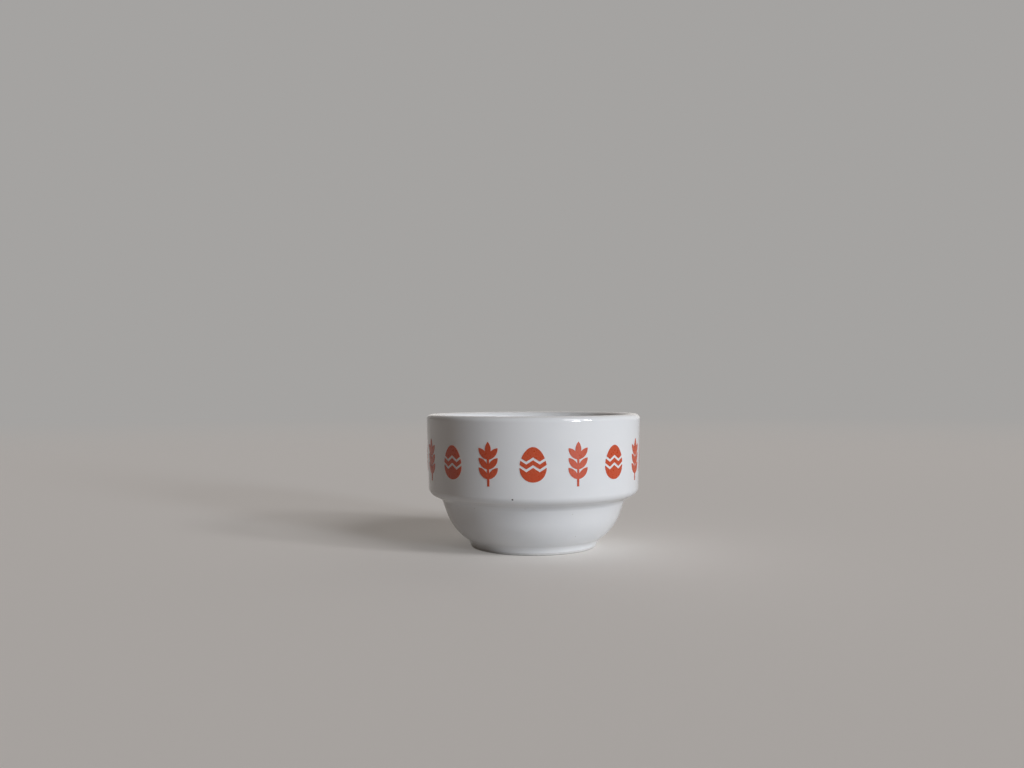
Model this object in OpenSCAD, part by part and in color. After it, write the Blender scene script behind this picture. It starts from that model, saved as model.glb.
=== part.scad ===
// Stacking egg cup in glazed porcelain.
// Millimetres, +Z up. The origin is on the axis of revolution, in the plane that the foot ring
// stands on, and the front is at -Y.
// The outline is one path of corners that runs from the middle of the underside, round the foot
// ring, up the outside, over the lip and down to the middle of the bowl. The material lies on its
// left. Moving that path inwards gives the clay under the glaze, and the inside of the bowl is the
// outside moved in by the wall.

/* [Collar] */
// Outer radius of the collar at the lip, before the lip is rounded
rim_r = 25; // [23:0.5:30]
// Height of the cup from its standing face to the lip
cup_h = 30.8; // [27:0.2:38]
// Thickness of the collar at the lip
collar_wall = 3.2; // [2.6:0.1:4]
// How far the outside of the collar draws in from the lip to its lower edge
collar_draft = 0.5; // [0:0.1:1]
// Radius of the rounding on both edges of the lip
lip_round = 1.2; // [0.6:0.1:1.6]
// Radius of the rounded edge under the collar
shoulder_round = 2.5; // [1.4:0.1:3.2]
// Radial clearance between the collar's inside and the neck of a like cup stacked in it
stack_clearance = 0.3; // [0.2:0.05:0.5]

/* [Bowl] */
// Height of the neck, where the bowl meets the underside of the collar
neck_z = 11.2; // [10:0.1:12.4]
// Height of the collar's lower edge above the neck, which sets the slope of the collar's underside
shoulder_rise = 1.55; // [1:0.05:2.2]
// Radius of the hollow rounding in the neck
neck_round = 1.9; // [0.6:0.1:2.4]
// How far the bowl's side draws in from the neck to the corner that it turns round
side_draw = 2.6; // [1.8:0.1:3.2]
// How far the bowl draws in from that corner to the foot ring
turn_draw = 3.7; // [3:0.1:4.2]
// Height of that corner above the foot ring
turn_rise = 2.3; // [1.9:0.1:2.8]
// Radius of the round side of the bowl
turn_round = 11; // [6:0.5:12]
// Thickness of the wall of the bowl
wall = 3; // [2.4:0.1:3.4]
// Radius of the rounding where the collar's inside turns into the ledge
ledge_round = 2.2; // [1:0.1:3]
// Radius of the rounding on the step from the ledge into the bowl
step_round = 2.4; // [1:0.1:3]
// Radius of the rounding from the bowl's side to its floor
floor_round = 8; // [4:0.5:9]
// Thickness of the base on the axis
base_t = 2.6; // [2:0.1:3.4]

/* [Foot] */
// Height of the foot ring on the outside
foot_h = 1.65; // [1.3:0.05:2]
// How far the outside of the foot ring draws in from the bowl to the standing face
foot_draw = 0.6; // [0.4:0.1:1]
// Width of the foot ring at the standing face, before its edges are rounded
foot_w = 2.4; // [2:0.1:3]
// Radius of the rounding on both edges of the standing face
foot_round = 0.5; // [0.3:0.05:0.6]
// Radius of the hollow rounding above the foot ring
foot_neck_round = 1.2; // [0.4:0.1:1.8]
// Height of the recess under the base
recess_h = 1.3; // [1:0.1:1.6]
// Radius of the rounding at the rim of the recess
recess_round = 1; // [0.4:0.1:1.2]
// How far the inside of the foot ring draws in from the standing face to the recess
recess_draw = 0.5; // [0.2:0.1:0.8]

/* [Glaze] */
// Thickness of the glaze
glaze_t = 0.2; // [0.1:0.05:0.3]
// Height above the standing face at which the glaze ends on both sides of the foot ring
bare_h = 0.55; // [0.5:0.05:0.7]

/* [Print] */
// Thickness of the fired colour
enamel_t = 0.06; // [0.04:0.01:0.1]
// How far the middle of the printed band lies below the middle of the collar
band_drop = 1; // [0:0.1:2]
// Height of a printed egg
egg_h = 7.4; // [6:0.1:9]
// Width of a printed egg
egg_w = 5.6; // [4.4:0.1:6.4]
// Width of the white gaps across a printed egg
egg_gap_w = 0.6; // [0.4:0.05:0.8]
// Width of the zigzag stripe across a printed egg
zigzag_w = 1; // [0.6:0.1:1.4]
// Height of a zigzag's teeth
zigzag_h = 0.9; // [0.5:0.1:1.2]
// Height of a printed sprig
sprig_h = 9.4; // [7:0.1:11]
// Width of a sprig's stem
stem_w = 0.5; // [0.3:0.05:0.8]
// Length of a sprig's leaf
leaf_l = 3.3; // [2.4:0.1:3.6]
// Width of a sprig's leaf
leaf_w = 1.35; // [0.8:0.05:1.7]
// Angle between a sprig's stem and its side leaves, in degrees
leaf_angle = 42; // [30:1:55]

/* [Hidden] */
// Printed eggs round the collar, with a sprig after each
motif_pairs = 8;
// Teeth of the zigzag across an egg
zigzag_teeth = 4;
// Pairs of side leaves on a sprig
leaf_pairs = 3;
// Share of a sprig's height at which its lowest and its highest leaves leave the stem
leaf_height_shares = [0.16, 0.6];
// How much narrower the pointed end of an egg is than its blunt end, as a share of the width
egg_taper_share = 0.17;
// Largest angle between two points of a rounded corner, in degrees
arc_step = 6;
// Points round half of a printed egg
egg_points = 20;
// How far cutting bodies run past what they cut
overrun = 1;
// Angle between two motifs
motif_step = 360 / (2 * motif_pairs);
$fn = 96;

clay_colour = [0.93, 0.92, 0.89];
glaze_colour = [0.9, 0.92, 0.94];
print_colour = [0.78, 0.25, 0.12];

function each_name(stem) = [for (i = [1:motif_pairs]) str(stem, i)];

// A path is a list of corners [radius, height, rounding].
function place(corner) = [corner.x, corner.y];
function unit(v) = v / norm(v);
function left_of(v) = [-v.y, v.x];
function crossed(a, b) = a.x * b.y - a.y * b.x;
function turned(v, angle) = [v.x * cos(angle) - v.y * sin(angle), v.x * sin(angle) + v.y * cos(angle)];
function reversed(list) = [for (i = [len(list) - 1:-1:0]) list[i]];

// Point of the line a-b at a height, or at a radius
function at_height(a, b, z) = a + (b - a) * (z - a.y) / (b.y - a.y);
function at_radius(a, b, r) = a + (b - a) * (r - a.x) / (b.x - a.x);

// Signed angle by which a path turns at corner b, positive to the left
function turn_angle(a, b, c) = atan2(crossed(b - a, c - b), (b - a) * (c - b));

// Corner b moved to the left of the path a-b-c by a distance
function moved_corner(a, b, c, distance) =
    let (n1 = unit(left_of(b - a)), n2 = unit(left_of(c - b)))
    b + (n1 + n2) * distance / (1 + n1 * n2);

// A whole path moved to its left by a distance, with roundings that stay parallel
function moved_path(path, distance) =
    let (p = [for (corner = path) place(corner)], last = len(p) - 1)
    [for (i = [0:last])
        let (
            point = i == 0 ? p[0] + unit(left_of(p[1] - p[0])) * distance
                : i == last ? p[last] + unit(left_of(p[last] - p[last - 1])) * distance
                : moved_corner(p[i - 1], p[i], p[i + 1], distance),
            side = i == 0 || i == last ? 0 : sign(turn_angle(p[i - 1], p[i], p[i + 1]))
        )
        [point.x, point.y, max(path[i].z - side * distance, 0)]
    ];

// How much of the stretches beside corner i its rounding takes up
function reach(path, i) =
    i <= 0 || i >= len(path) - 1 ? 0
    : path[i].z * tan(abs(turn_angle(place(path[i - 1]), place(path[i]), place(path[i + 1]))) / 2);

// Share of their roundings that the corners at both ends of stretch i keep, so that they fit on it
function kept_share(path, i) =
    let (used = reach(path, i - 1) + reach(path, i))
    i <= 0 || i >= len(path) || used == 0 ? 1
    : min(1, norm(place(path[i]) - place(path[i - 1])) / used);

// A path whose roundings fit the stretches between its corners
function fitted(path) =
    [for (i = [0:len(path) - 1])
        let (share = min(kept_share(path, i), kept_share(path, i + 1)))
        [path[i].x, path[i].y, path[i].z * share]
    ];

// The points of a rounded corner
function corner_points(a, corner, c) =
    let (
        b = place(corner),
        angle = turn_angle(a, b, c),
        start = b - unit(b - a) * corner.z * tan(abs(angle) / 2),
        middle = start + unit(left_of(b - a)) * corner.z * sign(angle),
        steps = max(ceil(abs(angle) / arc_step), 1)
    )
    corner.z > 0 ? [for (i = [0:steps]) middle + turned(start - middle, angle * i / steps)] : [b];

// The points of a path with its corners rounded
function rounded(path) =
    let (last = len(path) - 1)
    concat(
        [place(path[0])],
        [for (i = [1:last - 1])
            each corner_points(place(path[i - 1]), path[i], place(path[i + 1]))
        ],
        [place(path[last])]
    );

// A path without its first corner's stretch below a height, or without its last one's
function from_height(path, z) =
    let (start = at_height(place(path[0]), place(path[1]), z))
    concat([[start.x, start.y, 0]], [for (i = [1:len(path) - 1]) path[i]]);
function to_height(path, z) = reversed(from_height(reversed(path), z));

// Places that follow from the sizes
seat_r = rim_r - collar_wall;
neck_r = seat_r - stack_clearance;
shoulder_z = neck_z + shoulder_rise;
turn_r = neck_r - side_draw;
foot_top_r = turn_r - turn_draw;
foot_r = foot_top_r - foot_draw;
foot_in_r = foot_r - foot_w;
floor_z = recess_h + base_t;
band_z = (shoulder_z + cup_h) / 2 - band_drop;
collar_low = [rim_r - collar_draft, shoulder_z];
collar_high = [rim_r, cup_h];

// Outside of the cup, from the standing face to the lip
outside = [
    [foot_r, 0, foot_round],
    [foot_top_r, foot_h, foot_neck_round],
    [turn_r, foot_h + turn_rise, turn_round],
    [neck_r, neck_z, neck_round],
    [collar_low.x, collar_low.y, shoulder_round],
    [collar_high.x, collar_high.y, lip_round]
];

// Inside of the cup, from the lip to the middle of the floor. Its ledge and its side are those of
// the outside moved in by the wall.
moved_in = [for (corner = moved_path(outside, wall)) place(corner)];
step = moved_in[3];
ledge = at_radius(step, moved_in[4], seat_r);
floor_edge = at_height(moved_in[2], step, floor_z);
inside = [
    [seat_r, cup_h, lip_round],
    [ledge.x, ledge.y, ledge_round],
    [step.x, step.y, step_round],
    [floor_edge.x, floor_edge.y, floor_round],
    [0, floor_z, 0]
];

// Underside, from the axis to the standing face
underside = [
    [0, recess_h, 0],
    [foot_in_r - recess_draw, recess_h, recess_round],
    [foot_in_r, 0, foot_round]
];

// The glazed skins and the clay under them, which end at the edge of the bare foot
whole_skin = fitted(concat(outside, inside));
upper_skin = fitted(from_height(whole_skin, bare_h));
upper_clay = fitted(from_height(moved_path(whole_skin, glaze_t), bare_h));
lower_skin = fitted(to_height(underside, bare_h));
lower_clay = fitted(to_height(moved_path(underside, glaze_t), bare_h));

// The bare foot, which keeps the full size
foot_corners = [underside[1], underside[2], outside[0], outside[1]];
bare_foot = fitted(to_height(from_height(foot_corners, bare_h), bare_h));

// Pieces

module porcelain_body()
    color(clay_colour)
    rotate_extrude()
    polygon(concat(rounded(lower_clay), rounded(bare_foot), rounded(upper_clay)));

module glaze_coat()
    color(glaze_colour)
    rotate_extrude()
    polygon(concat(rounded(upper_skin), reversed(rounded(upper_clay))));

module base_glaze()
    color(glaze_colour)
    rotate_extrude()
    polygon(concat(rounded(lower_skin), reversed(rounded(lower_clay))));

// The layer of colour on the glaze all round the collar, from which the motifs are cut
module colour_layer(height)
    let (
        low = at_height(collar_low, collar_high, band_z - height / 2 - overrun),
        high = at_height(collar_low, collar_high, band_z + height / 2 + overrun),
        out = -unit(left_of(high - low)) * enamel_t
    )
    rotate_extrude()
    polygon([low, low + out, high + out, high]);

// A flat motif, centred on the band, laid on the collar at an angle from the front
module on_collar(angle, height)
    color(print_colour)
    intersection() {
        colour_layer(height);
        rotate([0, 0, angle])
        translate([0, 0, band_z])
        rotate([90, 0, 0])
        linear_extrude(height = rim_r + overrun)
        children();
    }

// Half the width of an egg at an angle from its pointed end
function egg_x(angle) = egg_w / 2 * sin(angle) * (1 - egg_taper_share * cos(angle));

module egg_outline()
    polygon([for (i = [0:2 * egg_points - 1])
        let (angle = 180 * i / egg_points)
        [egg_x(angle), egg_h / 2 * cos(angle)]
    ]);

// A zigzag band of a given height across the egg
module zigzag(thickness)
    let (
        tooth = egg_w / zigzag_teeth,
        edge = [for (i = [-1:zigzag_teeth + 1])
            [tooth * i - egg_w / 2, zigzag_h * ((i + 1) % 2 - 1 / 2)]
        ]
    )
    polygon(concat(
        [for (p = edge) p + [0, thickness / 2]],
        reversed([for (p = edge) p - [0, thickness / 2]])
    ));

module egg_motif() {
    difference() {
        egg_outline();
        zigzag(zigzag_w + 2 * egg_gap_w);
    }
    intersection() {
        egg_outline();
        zigzag(zigzag_w);
    }
}

// A leaf between two arcs, which starts at the origin and points up
module leaf()
    let (arc_r = (leaf_l * leaf_l + leaf_w * leaf_w) / (4 * leaf_w))
    translate([0, leaf_l / 2])
    intersection_for(side = [-1, 1])
    translate([side * (arc_r - leaf_w / 2), 0])
    circle(arc_r);

// Height on the stem at which a pair of side leaves starts
function leaf_height(i) =
    let (share = i / (leaf_pairs - 1), low_high = sprig_h * leaf_height_shares)
    low_high[0] * (1 - share) + low_high[1] * share;

module sprig_motif()
    translate([0, -sprig_h / 2]) {
        translate([-stem_w / 2, 0]) square([stem_w, sprig_h - leaf_l + stem_w]);
        translate([0, sprig_h - leaf_l]) leaf();
        for (i = [0:leaf_pairs - 1], side = [-1, 1])
            translate([0, leaf_height(i)])
            rotate(side * leaf_angle)
            leaf();
    }

module egg_print(i)
    on_collar(2 * motif_step * (i - 1), egg_h) egg_motif();

module sprig_print(i)
    on_collar(2 * motif_step * (i - 1) + motif_step, sprig_h) sprig_motif();

porcelain_body();
glaze_coat();
base_glaze();
for (i = [1:motif_pairs]) {
    egg_print(i);
    sprig_print(i);
}
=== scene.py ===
"""Looks of a stacking egg cup in white glazed porcelain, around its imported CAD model.

Metres, +Z up. The origin is on the cup's axis, on the floor that the foot ring stands on, and the
front is at -Y.
"""

import math

import bmesh
import bpy
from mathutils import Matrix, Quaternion, Vector


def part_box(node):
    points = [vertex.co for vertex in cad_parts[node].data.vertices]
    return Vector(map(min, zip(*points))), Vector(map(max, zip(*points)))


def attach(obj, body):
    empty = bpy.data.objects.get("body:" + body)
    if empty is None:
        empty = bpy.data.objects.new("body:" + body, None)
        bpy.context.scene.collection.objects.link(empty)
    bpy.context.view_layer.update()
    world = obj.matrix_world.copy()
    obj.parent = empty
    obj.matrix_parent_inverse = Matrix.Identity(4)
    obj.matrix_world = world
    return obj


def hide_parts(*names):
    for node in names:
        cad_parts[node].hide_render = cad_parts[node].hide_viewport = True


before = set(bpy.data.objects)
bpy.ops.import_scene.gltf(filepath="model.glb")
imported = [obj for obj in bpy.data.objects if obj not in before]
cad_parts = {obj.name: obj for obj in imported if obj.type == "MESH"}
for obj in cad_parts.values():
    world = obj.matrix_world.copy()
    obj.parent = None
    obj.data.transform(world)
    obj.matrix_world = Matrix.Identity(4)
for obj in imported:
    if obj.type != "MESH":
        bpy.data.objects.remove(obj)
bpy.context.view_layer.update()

MM = 0.001

# The sizes are those of the CAD model, but for four roundings: the inner edge of the lip, the
# shoulder, the crease above the foot ring and the ends of the glaze.

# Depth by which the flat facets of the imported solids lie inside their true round
FACET_DEPTH = 0.01 * MM

# Collar
RIM_R = 25 * MM - FACET_DEPTH
CUP_H = 30.8 * MM
COLLAR_WALL = 3.2 * MM
COLLAR_DRAFT = 0.5 * MM
LIP_ROUND = 1.2 * MM
LIP_INNER_ROUND = 1.9 * MM
SHOULDER_ROUND = 1.8 * MM
STACK_CLEARANCE = 0.3 * MM

# Bowl
NECK_Z = 11.2 * MM
SHOULDER_RISE = 1.55 * MM
NECK_ROUND = 1.9 * MM
SIDE_DRAW = 2.6 * MM
TURN_DRAW = 3.7 * MM
TURN_RISE = 2.3 * MM
TURN_ROUND = 11 * MM
WALL = 3 * MM
LEDGE_ROUND = 2.2 * MM
STEP_ROUND = 2.4 * MM
FLOOR_ROUND = 8 * MM
BASE_T = 2.6 * MM

# Foot
FOOT_H = 1.65 * MM
FOOT_DRAW = 0.6 * MM
FOOT_W = 2.4 * MM
FOOT_ROUND = 0.5 * MM
FOOT_NECK_ROUND = 2.6 * MM
RECESS_H = 1.3 * MM
RECESS_ROUND = 1 * MM
RECESS_DRAW = 0.5 * MM

# Glaze and print
GLAZE_T = 0.2 * MM
GLAZE_EDGE_ROUND = 0.12 * MM
BARE_H = 0.55 * MM
ENAMEL_T = 0.06 * MM
MOTIF_PAIRS = 8

# Places that follow from the sizes
SEAT_R = RIM_R - COLLAR_WALL
NECK_R = SEAT_R - STACK_CLEARANCE
SHOULDER_Z = NECK_Z + SHOULDER_RISE
TURN_R = NECK_R - SIDE_DRAW
FOOT_TOP_R = TURN_R - TURN_DRAW
FOOT_R = FOOT_TOP_R - FOOT_DRAW
FOOT_IN_R = FOOT_R - FOOT_W
FLOOR_Z = RECESS_H + BASE_T

# Fineness of the meshes
QUARTER_STEPS = 64
ARC_STEP = math.radians(6)
LEAST_ARC_STEPS = 2
PRINT_STRIP = math.radians(0.625)
SHARP_ANGLE = math.radians(35)
MERGE_DISTANCE = 0.5e-6

# Profile of a bevel that is a part of a circle
CIRCULAR = 0.5


# Outlines. A corner is its radius, its height and its rounding.


def place(corner):
    """The point of a corner, without its rounding."""
    return Vector(corner[:2])


def at_height(a, b, height):
    """The point of the line a-b at a height."""
    return a + (b - a) * (height - a.y) / (b.y - a.y)


def at_radius(a, b, radius):
    """The point of the line a-b at a radius."""
    return a + (b - a) * (radius - a.x) / (b.x - a.x)


def left_of(v):
    """The direction to the left of v, one unit long."""
    return Vector((-v.y, v.x)).normalized()


def turn_angle(a, b, c):
    """Angle by which an outline turns at corner b, positive to the left."""
    return -(b - a).angle_signed(c - b)


def moved_in(path, distance):
    """An outline moved to its left by a distance, with roundings that stay parallel to the old."""
    points = [place(corner) for corner in path]
    moved = []
    for i, point in enumerate(points):
        before = points[max(i - 1, 0)]
        after = points[min(i + 1, len(points) - 1)]
        if point in (before, after):
            new = point + left_of(after - before) * distance
            rounding = 0
        else:
            n1, n2 = left_of(point - before), left_of(after - point)
            new = point + (n1 + n2) * distance / (1 + n1.dot(n2))
            side = math.copysign(1, turn_angle(before, point, after))
            rounding = max(path[i][2] - side * distance, 0)
        moved.append((new.x, new.y, rounding))
    return moved


def outside():
    """The outside of the cup, from the standing face to the lip."""
    return [
        (FOOT_R, 0, FOOT_ROUND),
        (FOOT_TOP_R, FOOT_H, FOOT_NECK_ROUND),
        (TURN_R, FOOT_H + TURN_RISE, TURN_ROUND),
        (NECK_R, NECK_Z, NECK_ROUND),
        (RIM_R - COLLAR_DRAFT, SHOULDER_Z, SHOULDER_ROUND),
        (RIM_R, CUP_H, LIP_ROUND),
    ]


def inside():
    """The inside of the cup, from the lip to the middle of the floor."""
    wall = [place(corner) for corner in moved_in(outside(), WALL)]
    step = wall[3]
    ledge = at_radius(step, wall[4], SEAT_R)
    floor_edge = at_height(wall[2], step, FLOOR_Z)
    return [
        (SEAT_R, CUP_H, LIP_INNER_ROUND),
        (*ledge, LEDGE_ROUND),
        (*step, STEP_ROUND),
        (*floor_edge, FLOOR_ROUND),
        (0, FLOOR_Z, 0),
    ]


def underside():
    """The underside of the cup, from the axis to the standing face."""
    return [
        (0, RECESS_H, 0),
        (FOOT_IN_R - RECESS_DRAW, RECESS_H, RECESS_ROUND),
        (FOOT_IN_R, 0, FOOT_ROUND),
    ]


def from_height(path, height):
    """An outline whose first stretch starts at a height."""
    start = at_height(place(path[0]), place(path[1]), height)
    return [(*start, 0), *path[1:]]


def to_height(path, height):
    """An outline whose last stretch ends at a height."""
    return from_height(path[::-1], height)[::-1]


# Turned pieces


def rounded_corner(bm, vert, before, corner, after):
    """Rounds one corner of an outline with a vertex bevel."""
    angle = abs(turn_angle(place(before), place(corner), place(after)))
    if corner[2] == 0 or angle == 0:
        return
    bmesh.ops.bevel(
        bm,
        geom=[vert],
        offset=corner[2] * math.tan(angle / 2),
        offset_type="OFFSET",
        segments=max(LEAST_ARC_STEPS, math.ceil(angle / ARC_STEP)),
        profile=CIRCULAR,
        affect="VERTICES",
    )


def outline_mesh(path):
    """The outline as a chain of edges at the right of the axis, with its corners rounded."""
    bm = bmesh.new()
    verts = [bm.verts.new((radius, 0, height)) for radius, height, _ in path]
    for a, b in zip(verts, verts[1:]):
        bm.edges.new((a, b))
    for vert, before, corner, after in zip(verts[1:], path, path[1:], path[2:]):
        rounded_corner(bm, vert, before, corner, after)
    return bm


def finished(name, bm):
    """Makes the object of a mesh, smooth but for its sharp edges."""
    for face in bm.faces:
        face.smooth = True
    for edge in bm.edges:
        edge.smooth = edge.calc_face_angle(0) < SHARP_ANGLE
    mesh = bpy.data.meshes.new(name)
    bm.to_mesh(mesh)
    bm.free()
    piece = bpy.data.objects.new(name, mesh)
    bpy.context.scene.collection.objects.link(piece)
    return piece


def turned(name, path):
    """A piece turned round the axis from an outline: a quarter of it, mirrored twice."""
    bm = outline_mesh(path)
    bmesh.ops.spin(
        bm,
        geom=bm.verts[:] + bm.edges[:],
        cent=(0, 0, 0),
        axis=(0, 0, 1),
        angle=math.pi / 2,
        steps=QUARTER_STEPS,
    )
    for axis in ("X", "Y"):
        bmesh.ops.mirror(
            bm,
            geom=bm.verts[:] + bm.edges[:] + bm.faces[:],
            axis=axis,
            merge_dist=MERGE_DISTANCE,
        )
    bmesh.ops.remove_doubles(bm, verts=bm.verts[:], dist=MERGE_DISTANCE)
    bmesh.ops.recalc_face_normals(bm, faces=bm.faces[:])
    return finished(name, bm)


def fired_body():
    """The clay, with its bare foot ring and the rebate that the glaze lies in."""
    skin = outside() + inside()
    foot = [*underside()[1:], *skin[:2]]
    return turned(
        "fired_body",
        to_height(moved_in(underside(), GLAZE_T), BARE_H)
        + to_height(from_height(foot, BARE_H), BARE_H)
        + from_height(moved_in(skin, GLAZE_T), BARE_H),
    )


def clear_glaze():
    """The glaze from the foot ring over the lip to the middle of the bowl."""
    skin = outside() + inside()
    clay = from_height(moved_in(skin, GLAZE_T), BARE_H)
    start = (*from_height(skin, BARE_H)[0][:2], GLAZE_EDGE_ROUND)
    return turned("clear_glaze", clay[::-1] + [start] + skin[1:])


def recess_glaze():
    """The glaze in the recess under the base."""
    skin = to_height(underside(), BARE_H)
    clay = to_height(moved_in(underside(), GLAZE_T), BARE_H)
    end = (*skin[-1][:2], GLAZE_EDGE_ROUND)
    return turned("recess_glaze", skin[:-1] + [end] + clay[::-1])


# Printed motifs


def collar_radius(height):
    """Radius of the collar's outside at a height, under its lip and over its shoulder."""
    share = (height - SHOULDER_Z) / (CUP_H - SHOULDER_Z)
    return RIM_R - COLLAR_DRAFT * (1 - share)


def cut_into_strips(bm, middle, spread):
    """Cuts a motif upright, into strips that are narrow enough to bend round the collar."""
    cuts = math.ceil(spread / 2 / PRINT_STRIP)
    for i in range(-cuts, cuts + 1):
        angle = middle + i * PRINT_STRIP
        bmesh.ops.bisect_plane(
            bm,
            geom=bm.verts[:] + bm.edges[:] + bm.faces[:],
            dist=MERGE_DISTANCE,
            plane_co=(0, 0, 0),
            plane_no=(-math.sin(angle), math.cos(angle), 0),
        )


def printed(name, node):
    """A motif in fired colour: the CAD model's, laid round the collar's finer mesh."""
    bm = bmesh.new()
    bm.from_mesh(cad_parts[node].data)
    bmesh.ops.remove_doubles(bm, verts=bm.verts[:], dist=MERGE_DISTANCE)
    low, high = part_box(node)
    middle = math.atan2(low.y + high.y, low.x + high.x)
    spread = Vector((high.x - low.x, high.y - low.y)).length / RIM_R
    cut_into_strips(bm, middle, spread)
    for vert in bm.verts:
        radius = collar_radius(vert.co.z)
        if vert.co.xy.length > radius + ENAMEL_T / 2:
            radius += ENAMEL_T
        vert.co.xy = vert.co.xy.normalized() * radius
    return finished(name, bm)


# Materials


class Nodes:
    """The node tree of one material, with the few kinds of node that the finishes use."""

    def __init__(self, name):
        self.material = bpy.data.materials.new(name)
        self.material.use_nodes = True
        self.tree = self.material.node_tree
        self.shader = self.tree.nodes["Principled BSDF"]
        self.place = self.new("ShaderNodeTexCoord").outputs["Object"]

    def new(self, kind, **settings):
        """Adds a node of a kind, with its settings."""
        node = self.tree.nodes.new(kind)
        for key, value in settings.items():
            setattr(node, key, value)
        return node

    def put(self, value, socket):
        """Links an output to a socket, or sets a plain value on it."""
        if isinstance(value, bpy.types.NodeSocket):
            self.tree.links.new(value, socket)
        else:
            socket.default_value = value

    def shade(self, quality, value):
        """Gives the material's shader one of its qualities."""
        self.put(value, self.shader.inputs[quality])

    def noise(self, size, detail=2, roughness=0.5):
        """Noise whose lumps are about this size, in metres."""
        node = self.new("ShaderNodeTexNoise")
        self.put(self.place, node.inputs["Vector"])
        self.put(1 / size, node.inputs["Scale"])
        self.put(detail, node.inputs["Detail"])
        self.put(roughness, node.inputs["Roughness"])
        return node.outputs["Fac"]

    def math(self, operation, a, b=0.0):
        """One step of reckoning with a value, or with two."""
        node = self.new("ShaderNodeMath", operation=operation)
        self.put(a, node.inputs[0])
        self.put(b, node.inputs[1])
        return node.outputs[0]

    def ramp(self, value, start, end, low=0.0, high=1.0):
        """Goes smoothly from low to high while the value goes from start to end."""
        node = self.new("ShaderNodeMapRange", interpolation_type="SMOOTHSTEP")
        for socket, number in zip(node.inputs, (value, start, end, low, high)):
            self.put(number, socket)
        return node.outputs[0]

    def patches(self, size, edges, levels=(0.0, 1.0), **settings):
        """Soft patches: the first level where the noise is below its edges, the second above."""
        return self.ramp(self.noise(size, **settings), *edges, *levels)

    def mix(self, factor, a, b):
        """Mixes two colours."""
        node = self.new("ShaderNodeMix", data_type="RGBA")
        self.put(factor, node.inputs["Factor"])
        for key, value in (("A", a), ("B", b)):
            socket = next(s for s in node.inputs if s.name == key and s.type == "RGBA")
            self.put(value, socket)
        return next(s for s in node.outputs if s.type == "RGBA")

    def distance(self, point):
        """Distance from a point."""
        node = self.new("ShaderNodeVectorMath", operation="DISTANCE")
        self.put(self.place, node.inputs[0])
        self.put(point, node.inputs[1])
        return node.outputs["Value"]

    def specks(self, spacing, size):
        """Small round marks of a radius, about this far apart."""
        node = self.new("ShaderNodeTexVoronoi")
        self.put(self.place, node.inputs["Vector"])
        self.put(1 / spacing, node.inputs["Scale"])
        share = size / spacing
        return self.ramp(node.outputs["Distance"], share / 2, share, 1, 0)

    def axes(self):
        """The distance from the cup's axis, and the height."""
        split = self.new("ShaderNodeSeparateXYZ")
        self.put(self.place, split.inputs[0])
        flat = self.new("ShaderNodeCombineXYZ")
        self.put(split.outputs[0], flat.inputs[0])
        self.put(split.outputs[1], flat.inputs[1])
        radius = self.new("ShaderNodeVectorMath", operation="LENGTH")
        self.put(flat.outputs[0], radius.inputs[0])
        return radius.outputs["Value"], split.outputs[2]

    def off_level(self, height, level):
        """How far a height is above or below a level."""
        return self.math("ABSOLUTE", self.math("SUBTRACT", height, level))

    def bump(self, height, depth, below=None):
        """A bump of a depth in metres, over another bump where there is one."""
        node = self.new("ShaderNodeBump")
        self.put(height, node.inputs["Height"])
        self.put(depth, node.inputs["Distance"])
        if below is not None:
            self.put(below, node.inputs["Normal"])
        return node.outputs["Normal"]


def rgb(red, green, blue):
    """An opaque colour."""
    return (red, green, blue, 1)


# White glaze. Edges are levels of noise between which a patch fades in.
GLAZE_WHITE = rgb(0.865, 0.873, 0.875)
GLAZE_CLOUD = rgb(0.84, 0.853, 0.86)
CLOUD_SIZE = 9 * MM
CLOUD_EDGES = (0.35, 0.7)
GLAZE_POOLED = rgb(0.73, 0.76, 0.78)
POOL_FADE = (0.2 * MM, 0.9 * MM)
POOL_SHARE = 0.15
POOL_DEPTH = 0.6 * MM
GLAZE_THIN = rgb(0.87, 0.86, 0.84)
LIP_FADE = 0.5 * MM
LIP_SHARE = 0.7
PINHOLE_GREY = rgb(0.42, 0.38, 0.33)
PINHOLE_R = 0.11 * MM
PINHOLE_SPACING = 4.5 * MM
IRON_BROWN = rgb(0.05, 0.035, 0.028)
SPECK_PLACE = (-4.34 * MM, -24.06 * MM, 13.45 * MM)
SPECK_R = 0.24 * MM
GLOSS_SIZE = 4 * MM
GLOSS_EDGES = (0.3, 0.7)
GLOSS_DULLNESS = (0.02, 0.05)
RUB_FADE = (0.3 * MM, 1.5 * MM)
RUB_DULLNESS = 0.12
SCUFF_SIZE = 0.8 * MM
SCUFF_EDGES = (0.5, 0.7)
WAVE_SIZE = 3.2 * MM
WAVE_DEPTH = 0.012 * MM
SKIN_SIZE = 0.5 * MM
SKIN_DEPTH = 0.0012 * MM
GLAZE_IOR = 1.5


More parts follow.
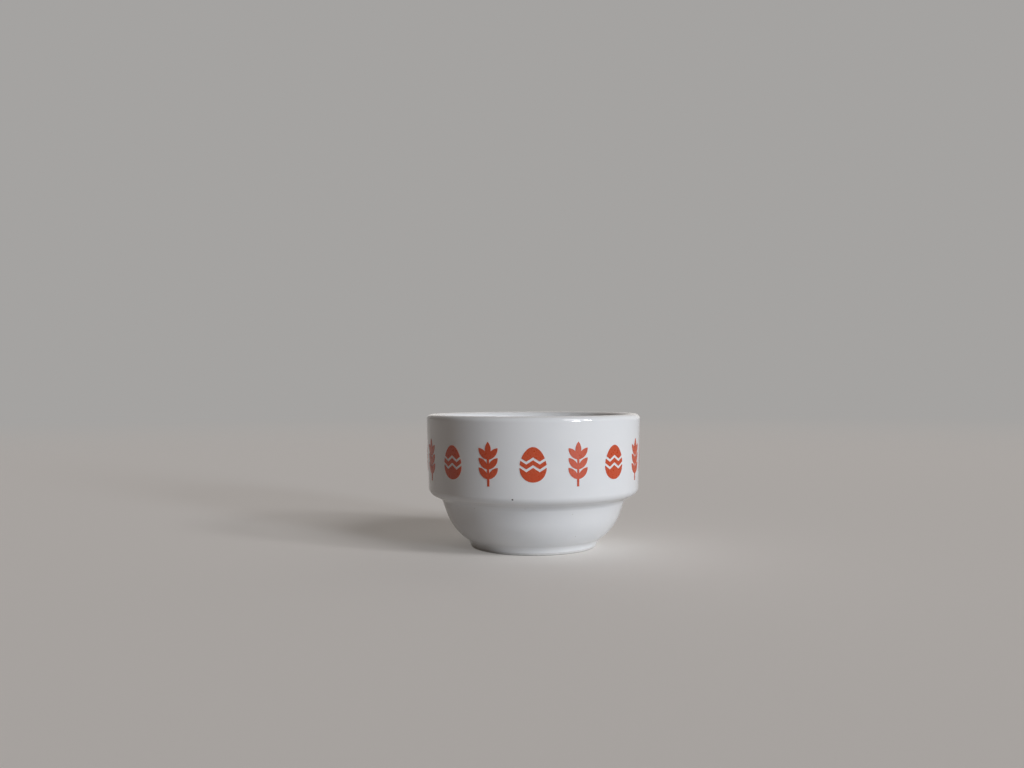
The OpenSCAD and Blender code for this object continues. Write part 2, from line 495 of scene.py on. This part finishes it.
def glaze_colour(nodes, radius, height):
    """Clouded white, bluish where the glaze has run together in the neck, warmer where it is
    thin on the lip, with fine pinholes and one iron speck over the shoulder."""
    cloud = nodes.patches(CLOUD_SIZE, CLOUD_EDGES, detail=3)
    colour = nodes.mix(cloud, GLAZE_WHITE, GLAZE_CLOUD)
    pooled = nodes.ramp(nodes.off_level(height, NECK_Z), *POOL_FADE, POOL_SHARE, 0)
    outer = nodes.math("GREATER_THAN", radius, NECK_R - POOL_DEPTH)
    pooled = nodes.math("MULTIPLY", pooled, outer)
    colour = nodes.mix(pooled, colour, GLAZE_POOLED)
    lip = nodes.ramp(height, CUP_H - LIP_FADE, CUP_H, 0, LIP_SHARE)
    colour = nodes.mix(lip, colour, GLAZE_THIN)
    pinholes = nodes.specks(PINHOLE_SPACING, PINHOLE_R)
    colour = nodes.mix(pinholes, colour, PINHOLE_GREY)
    speck = nodes.ramp(nodes.distance(SPECK_PLACE), SPECK_R / 2, SPECK_R, 1, 0)
    return nodes.mix(speck, colour, IRON_BROWN)


def glaze_dullness(nodes, height):
    """Nearly none, but for the ledge, where stacked cups rub."""
    ledge_z = inside()[1][1]
    rubbed = nodes.ramp(nodes.off_level(height, ledge_z), *RUB_FADE, RUB_DULLNESS, 0)
    scuffs = nodes.patches(SCUFF_SIZE, SCUFF_EDGES, detail=4, roughness=0.7)
    dull = nodes.patches(GLOSS_SIZE, GLOSS_EDGES, GLOSS_DULLNESS, detail=4)
    return nodes.math("ADD", dull, nodes.math("MULTIPLY", rubbed, scuffs))


def glaze_finish():
    """Clear glaze over white clay, glossy and faintly wavy."""
    nodes = Nodes("white_glaze")
    radius, height = nodes.axes()
    nodes.shade("Base Color", glaze_colour(nodes, radius, height))
    nodes.shade("Roughness", glaze_dullness(nodes, height))
    waves = nodes.bump(nodes.noise(WAVE_SIZE, detail=1), WAVE_DEPTH)
    skin = nodes.bump(nodes.noise(SKIN_SIZE, detail=2), SKIN_DEPTH, waves)
    nodes.shade("Normal", skin)
    nodes.shade("IOR", GLAZE_IOR)
    return nodes.material


# Bare clay
CLAY_WHITE = rgb(0.72, 0.712, 0.695)
# Dark grey for dirt, and for painted contact shadow along the standing edge
CLAY_DIRT_AND_CONTACT_SHADE = rgb(0.43, 0.415, 0.39)
SOIL_SIZE = 0.7 * MM
SOIL_EDGES = (0.4, 0.7)
SOIL_SHARES = (0.15, 1)
CONTACT_SHADE_AND_DIRT_FADE = (0.03 * MM, 0.2 * MM)
CONTACT_SHADE_AND_DIRT_ABOVE = 0.15
CLAY_PATCH_SIZE = 0.3 * MM
CLAY_EDGES = (0.3, 0.7)
CLAY_DULLNESS = (0.55, 0.75)
CLAY_GRAIN_SIZE = 0.12 * MM
CLAY_GRAIN_DEPTH = 0.02 * MM


def clay_finish():
    """Bare fired clay: matt, a little rough, with dirt and painted contact shadow where it stands
    on tables.
    """
    nodes = Nodes("bare_clay")
    height = nodes.axes()[1]
    soil = nodes.patches(SOIL_SIZE, SOIL_EDGES, SOIL_SHARES, detail=6, roughness=0.65)
    # Darkest within a fraction of a millimetre of the floor: partly dirt, partly painted contact
    # shadow
    contact_shade_and_dirt = nodes.ramp(height, *CONTACT_SHADE_AND_DIRT_FADE, 1, CONTACT_SHADE_AND_DIRT_ABOVE)
    dirt_and_contact_shade = nodes.math("MULTIPLY", soil, contact_shade_and_dirt)
    nodes.shade("Base Color", nodes.mix(dirt_and_contact_shade, CLAY_WHITE, CLAY_DIRT_AND_CONTACT_SHADE))
    dull = nodes.patches(CLAY_PATCH_SIZE, CLAY_EDGES, CLAY_DULLNESS, detail=3)
    nodes.shade("Roughness", dull)
    grain = nodes.bump(nodes.noise(CLAY_GRAIN_SIZE, detail=4), CLAY_GRAIN_DEPTH)
    nodes.shade("Normal", grain)
    return nodes.material


# Fired print colour
ENAMEL_RED = rgb(0.60, 0.075, 0.022)
ENAMEL_THIN = rgb(0.66, 0.125, 0.05)
MOTTLE_SIZE = 0.35 * MM
MOTTLE_EDGES = (0.35, 0.75)
DRIFT_SIZE = 6 * MM
DRIFT_EDGES = (0.3, 0.7)
DRIFT_SHARES = (0.2, 0.9)
ENAMEL_PATCH_SIZE = 0.5 * MM
ENAMEL_EDGES = (0.3, 0.7)
ENAMEL_DULLNESS = (0.25, 0.42)
ENAMEL_GRAIN_SIZE = 0.15 * MM
ENAMEL_GRAIN_DEPTH = 0.004 * MM


def enamel_finish():
    """Fired print colour: orange-red, nearly flat, with the mottle of a screen print."""
    nodes = Nodes("orange_red_enamel")
    mottle = nodes.patches(MOTTLE_SIZE, MOTTLE_EDGES, detail=4)
    drift = nodes.patches(DRIFT_SIZE, DRIFT_EDGES, DRIFT_SHARES, detail=2)
    thin = nodes.math("MULTIPLY", mottle, drift)
    nodes.shade("Base Color", nodes.mix(thin, ENAMEL_RED, ENAMEL_THIN))
    dull = nodes.patches(ENAMEL_PATCH_SIZE, ENAMEL_EDGES, ENAMEL_DULLNESS, detail=3)
    nodes.shade("Roughness", dull)
    grain = nodes.bump(nodes.noise(ENAMEL_GRAIN_SIZE, detail=2), ENAMEL_GRAIN_DEPTH)
    nodes.shade("Normal", grain)
    return nodes.material


# The cup


def dressed(piece, node, material):
    """Puts a piece in the place of its CAD node, with its finish."""
    piece.data.materials.append(material)
    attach(piece, "root")
    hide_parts(node)


def cup():
    """All the pieces of the cup."""
    dressed(fired_body(), "porcelain_body", clay_finish())
    glaze = glaze_finish()
    dressed(clear_glaze(), "glaze_coat", glaze)
    dressed(recess_glaze(), "base_glaze", glaze)
    enamel = enamel_finish()
    for i in range(1, MOTIF_PAIRS + 1):
        for motif in ("egg", "sprig"):
            node = f"{motif}_print_{i}"
            dressed(printed(f"fired_{motif}_{i}", node), node, enamel)


# Stage

FLOOR_R = 6
FLOOR_SIDES = 96
FLOOR_COLOUR = rgb(0.65, 0.628, 0.602)
FLOOR_DULLNESS = 0.85
FLOOR_SHEEN = 0.2
FLOOR_LIFT = 0.215
FLOOR_FADE = (0.25, 1.2)
BACKDROP_COLOUR = rgb(0.375, 0.366, 0.357)
FILL_COLOUR = rgb(1.0, 0.5, 0.15)
FILL_STRENGTH = 0.032


def floor_finish():
    """Plain and pale, a little lighter to the eye and in reflections than its light makes it.
    Away from the cup it fades into the backdrop."""
    nodes = Nodes("pale_floor")
    nodes.shade("Base Color", FLOOR_COLOUR)
    nodes.shade("Roughness", FLOOR_DULLNESS)
    nodes.shade("Specular IOR Level", FLOOR_SHEEN)
    rays = nodes.new("ShaderNodeLightPath").outputs
    seen = nodes.math("MAXIMUM", rays["Is Camera Ray"], rays["Is Glossy Ray"])
    nodes.shade("Emission Color", FLOOR_COLOUR)
    nodes.shade("Emission Strength", nodes.math("MULTIPLY", seen, FLOOR_LIFT))
    far = nodes.ramp(nodes.distance((0, 0, 0)), *FLOOR_FADE)
    backdrop = nodes.new("ShaderNodeEmission")
    nodes.put(BACKDROP_COLOUR, backdrop.inputs["Color"])
    mix = nodes.new("ShaderNodeMixShader")
    nodes.put(nodes.math("MULTIPLY", far, seen), mix.inputs[0])
    nodes.put(nodes.shader.outputs[0], mix.inputs[1])
    nodes.put(backdrop.outputs[0], mix.inputs[2])
    output = nodes.tree.nodes["Material Output"]
    nodes.put(mix.outputs[0], output.inputs["Surface"])
    return nodes.material


def floor():
    """The floor that the cup stands on."""
    bm = bmesh.new()
    bmesh.ops.create_circle(bm, cap_ends=True, segments=FLOOR_SIDES, radius=FLOOR_R)
    piece = finished("floor", bm)
    piece.data.materials.append(floor_finish())


def surroundings():
    """A weak warm fill from all round, behind a plain backdrop."""
    world = bpy.data.worlds.new("studio")
    bpy.context.scene.world = world
    world.use_nodes = True
    tree = world.node_tree
    tree.nodes.clear()
    rays = tree.nodes.new("ShaderNodeLightPath")
    seen = tree.nodes.new("ShaderNodeMath")
    seen.operation = "MAXIMUM"
    tree.links.new(rays.outputs["Is Camera Ray"], seen.inputs[0])
    tree.links.new(rays.outputs["Is Glossy Ray"], seen.inputs[1])
    fill = tree.nodes.new("ShaderNodeBackground")
    fill.inputs["Color"].default_value = FILL_COLOUR
    fill.inputs["Strength"].default_value = FILL_STRENGTH
    backdrop = tree.nodes.new("ShaderNodeBackground")
    backdrop.inputs["Color"].default_value = BACKDROP_COLOUR
    mix = tree.nodes.new("ShaderNodeMixShader")
    tree.links.new(seen.outputs[0], mix.inputs[0])
    tree.links.new(fill.outputs[0], mix.inputs[1])
    tree.links.new(backdrop.outputs[0], mix.inputs[2])
    output = tree.nodes.new("ShaderNodeOutputWorld")
    tree.links.new(mix.outputs[0], output.inputs[0])


# Light

SKY_LIGHT = (0.82, 0.90, 1.0)
DAYLIGHT = (0.98, 0.975, 1.0)
WALL_LIGHT = (1.0, 0.95, 0.90)

# Each light's name, azimuth to the right of the front, elevation, width, strength and colour.
# Angles in degrees, strengths in watts per square metre.
LIGHTS = (
    ("low_pane", 46, 8, 10, 1.16, SKY_LIGHT),
    ("high_pane", 48.5, 36, 22, 0.89, DAYLIGHT),
    ("right_pane", 61.5, 22, 8, 0.55, DAYLIGHT),
    ("pale_wall", 155, 22, 80, 0.48, WALL_LIGHT),
)


def light_from(name, azimuth, elevation, width, strength, colour):
    """A round light far away, whose width sets how soft it is."""
    light = bpy.data.lights.new(name, "SUN")
    light.energy = strength
    light.angle = math.radians(width)
    light.color = colour
    lamp = bpy.data.objects.new(name, light)
    lamp.rotation_mode = "QUATERNION"
    turn = Quaternion((0, 0, 1), math.radians(azimuth))
    tilt = Quaternion((1, 0, 0), math.radians(90 - elevation))
    lamp.rotation_quaternion = turn @ tilt
    bpy.context.scene.collection.objects.link(lamp)


# Camera. Its sensor and its lens are in millimetres and its angles in radians.

SENSOR_W = 36
LENS = 30.87
CAMERA_PLACE = (0, -0.2072, 0.03578)
CAMERA_PITCH = math.radians(0.564)
CAMERA_YAW = math.radians(1.353)
CAMERA_ROLL = -0.0045
NEAREST_SEEN = 0.01
FARTHEST_SEEN = 20


def camera():
    """The camera at the photograph's place."""
    lens = bpy.data.cameras.new("camera")
    lens.sensor_width = SENSOR_W
    lens.lens = LENS
    lens.clip_start = NEAREST_SEEN
    lens.clip_end = FARTHEST_SEEN
    seat = bpy.data.objects.new("camera", lens)
    seat.location = CAMERA_PLACE
    seat.rotation_mode = "QUATERNION"
    level = Quaternion((1, 0, 0), math.pi / 2)
    yaw = Quaternion((0, 0, 1), CAMERA_YAW)
    pitch = Quaternion((1, 0, 0), CAMERA_PITCH)
    roll = Quaternion((0, 0, 1), CAMERA_ROLL)
    seat.rotation_quaternion = yaw @ level @ pitch @ roll
    bpy.context.scene.collection.objects.link(seat)
    bpy.context.scene.camera = seat


cup()
floor()
surroundings()
for light in LIGHTS:
    light_from(*light)
camera()

bpy.context.scene.view_settings.view_transform = "Standard"
